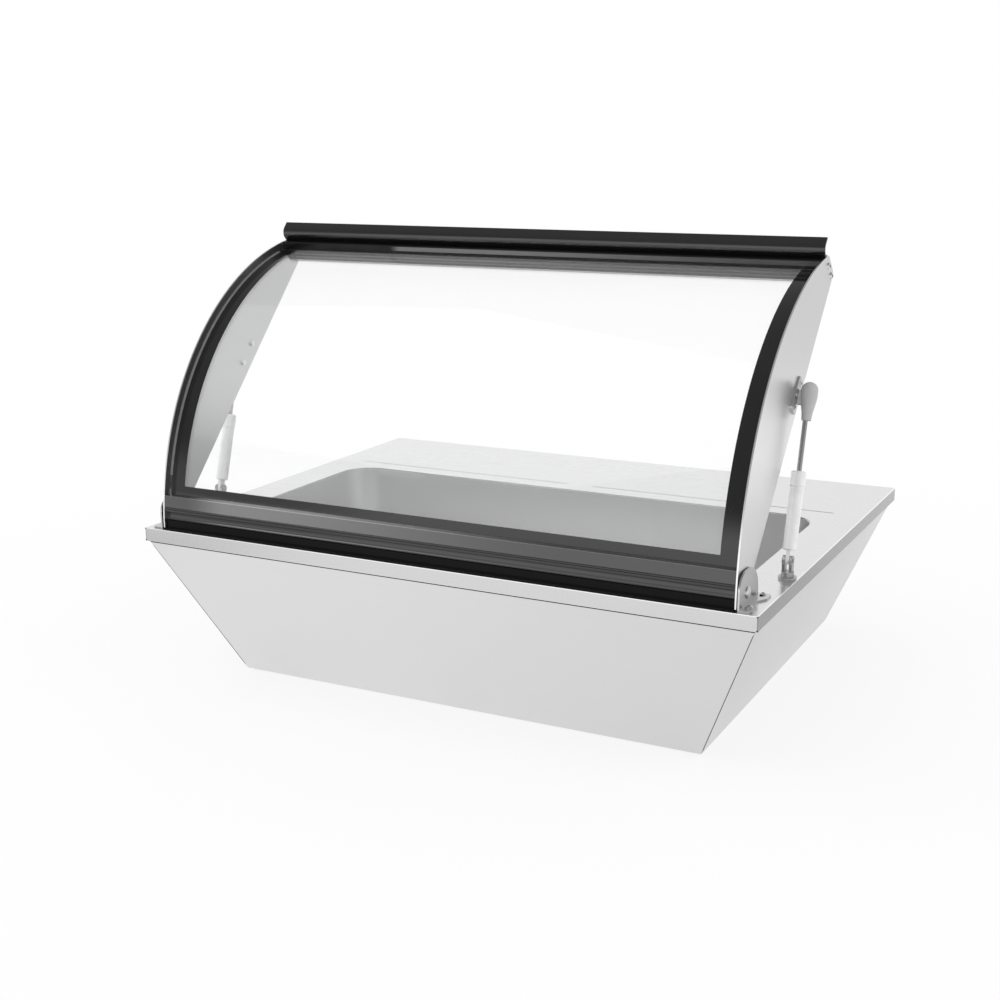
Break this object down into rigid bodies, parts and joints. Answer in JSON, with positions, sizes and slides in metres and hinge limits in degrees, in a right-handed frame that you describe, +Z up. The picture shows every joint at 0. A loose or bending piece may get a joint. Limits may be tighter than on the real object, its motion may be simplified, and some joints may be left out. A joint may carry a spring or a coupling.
{
  "type": "refrigerated display case",
  "caption": "Countertop refrigerated display case with a cold well in a bevelled steel base and a curved glass hood that tips open on gas springs.",
  "frame": {"origin": "on the floor under the middle of the worktop", "axes": "+X across the front to the right as the customer sees it, +Y towards the back, +Z up"},
  "size_m": [0.84, 0.656, 0.5982],
  "materials": {
    "worktop_steel": "brushed satin, lines along the width",
    "panel_steel": "fine satin",
    "well_steel": "pressed satin",
    "hood_steel": "fine satin",
    "rail_black": "glossy black anodised extrusion",
    "hood_glass": "clear with a black printed border",
    "sealant": "translucent grey, glossy bead",
    "bracket_steel": "satin",
    "washer_black": "matte",
    "fastener_steel": "bright",
    "strut_tube": "bright silver-white, glossy",
    "strut_rod": "polished",
    "rod_end_grey": "moulded grey",
    "fork_metal": "cast, satin",
    "rubber_black": "matte",
    "galvanised": "dull zinc",
    "foam": "moulded foam",
    "drain_plastic": "moulded",
    "copper": "drawn copper",
    "compressor_black": "semi-gloss black",
    "condenser_fins": "thin fins",
    "fan_black": "moulded",
    "motor_metal": "semi-gloss",
    "control_black": "moulded, fine grain",
    "key_grey": "moulded",
    "rocker_green": "glossy"
  },
  "bodies": {
    "case": {"worktop": "worktop_steel", "front_panel": "panel_steel", "left_side_panel": "panel_steel", "right_side_panel": "panel_steel", "rear_panel": "panel_steel", "well_liner": "well_steel", "base_rail": "rail_black", "left_hinge_bracket": "bracket_steel", "right_hinge_bracket": "bracket_steel", "hinge_washers": "washer_black", "hinge_pins": "fastener_steel", "bracket_screws": "fastener_steel", "rear_panel_screws": "fastener_steel", "strut_forks": "fork_metal", "rubber_feet": "rubber_black", "compressor_grommets": "rubber_black", "floor_plate": "galvanised", "well_insulation": "foam", "drain_spigot": "drain_plastic", "evaporator_coil": "copper", "discharge_pipe": "copper", "liquid_pipe": "copper", "capillary_tube": "copper", "suction_pipe": "copper", "filter_dryer": "copper", "compressor": "compressor_black", "condenser": "condenser_fins", "fan_housing": "fan_black", "fan_motor": "motor_metal", "controller": "control_black", "switch_housing": "control_black", "power_gland": "control_black"},
    "hood": {"hood_glass": "hood_glass", "left_cheek": "hood_steel", "right_cheek": "hood_steel", "hood_lower_rail": "rail_black", "hood_top_rail": "rail_black", "handle_profile": "rail_black", "glass_side_seals": "sealant", "rail_screws": "fastener_steel", "hood_bumpers": "rubber_black", "strut_plates": "bracket_steel", "strut_plate_screws": "fastener_steel", "strut_plate_nuts": "fastener_steel"},
    "left_tube": {"left_strut_tube": "strut_tube"},
    "right_tube": {"right_strut_tube": "strut_tube"},
    "left_rod": {"left_strut_rod": "strut_rod", "left_rod_end": "rod_end_grey"},
    "right_rod": {"right_strut_rod": "strut_rod", "right_rod_end": "rod_end_grey"},
    "fan": {"fan_blades": "fan_black"},
    "rocker": {"switch_rocker": "rocker_green"},
    "set_key": {"key_set": "key_grey"},
    "up_key": {"key_up": "key_grey"},
    "power_key": {"key_power": "key_grey"},
    "down_key": {"key_down": "key_grey"}
  },
  "joints": [
    {"name": "hood_hinge", "type": "hinge", "parent": "case", "child": "hood", "pos_m": [0, -0.295, 0.231], "axis": [-1, 0, 0], "range_deg": [0, 46.9]},
    {"name": "left_strut_swing", "type": "hinge", "parent": "case", "child": "left_tube", "pos_m": [-0.408, -0.178, 0.238], "axis": [-1, 0, 0], "range_deg": [0, 73.76]},
    {"name": "left_rod_slide", "type": "slide", "parent": "left_tube", "child": "left_rod", "axis": [0, -0.2838, -0.9589], "range_m": [0, 0.05265]},
    {"name": "right_strut_swing", "type": "hinge", "parent": "case", "child": "right_tube", "pos_m": [0.408, -0.178, 0.238], "axis": [-1, 0, 0], "range_deg": [0, 73.76]},
    {"name": "right_rod_slide", "type": "slide", "parent": "right_tube", "child": "right_rod", "axis": [0, -0.2838, -0.9589], "range_m": [0, 0.05265]},
    {"name": "fan_spin", "type": "hinge", "parent": "case", "child": "fan", "pos_m": [0.172, 0.228, 0.0847], "axis": [-1, 0, 0], "continuous": true},
    {"name": "rocker_tilt", "type": "hinge", "parent": "case", "child": "rocker", "pos_m": [0.084, 0.313, 0.142], "axis": [-1, 0, 0], "range_deg": [0, 18]},
    {"name": "key_set_press", "type": "slide", "parent": "case", "child": "set_key", "axis": [0, -1, 0], "range_m": [0, 0.0008], "stiffness_N_per_m": 600},
    {"name": "key_up_press", "type": "slide", "parent": "case", "child": "up_key", "axis": [0, -1, 0], "range_m": [0, 0.0008], "stiffness_N_per_m": 600},
    {"name": "key_power_press", "type": "slide", "parent": "case", "child": "power_key", "axis": [0, -1, 0], "range_m": [0, 0.0008], "stiffness_N_per_m": 600},
    {"name": "key_down_press", "type": "slide", "parent": "case", "child": "down_key", "axis": [0, -1, 0], "range_m": [0, 0.0008], "stiffness_N_per_m": 600}
  ],
  "couplings": [
    {"joint": "left_strut_swing", "follows": "hood_hinge", "ratio": 1.5717},
    {"joint": "left_rod_slide", "follows": "hood_hinge", "m_per_rad": 0.064203},
    {"joint": "right_strut_swing", "follows": "hood_hinge", "ratio": 1.5717},
    {"joint": "right_rod_slide", "follows": "hood_hinge", "m_per_rad": 0.064203}
  ]
}
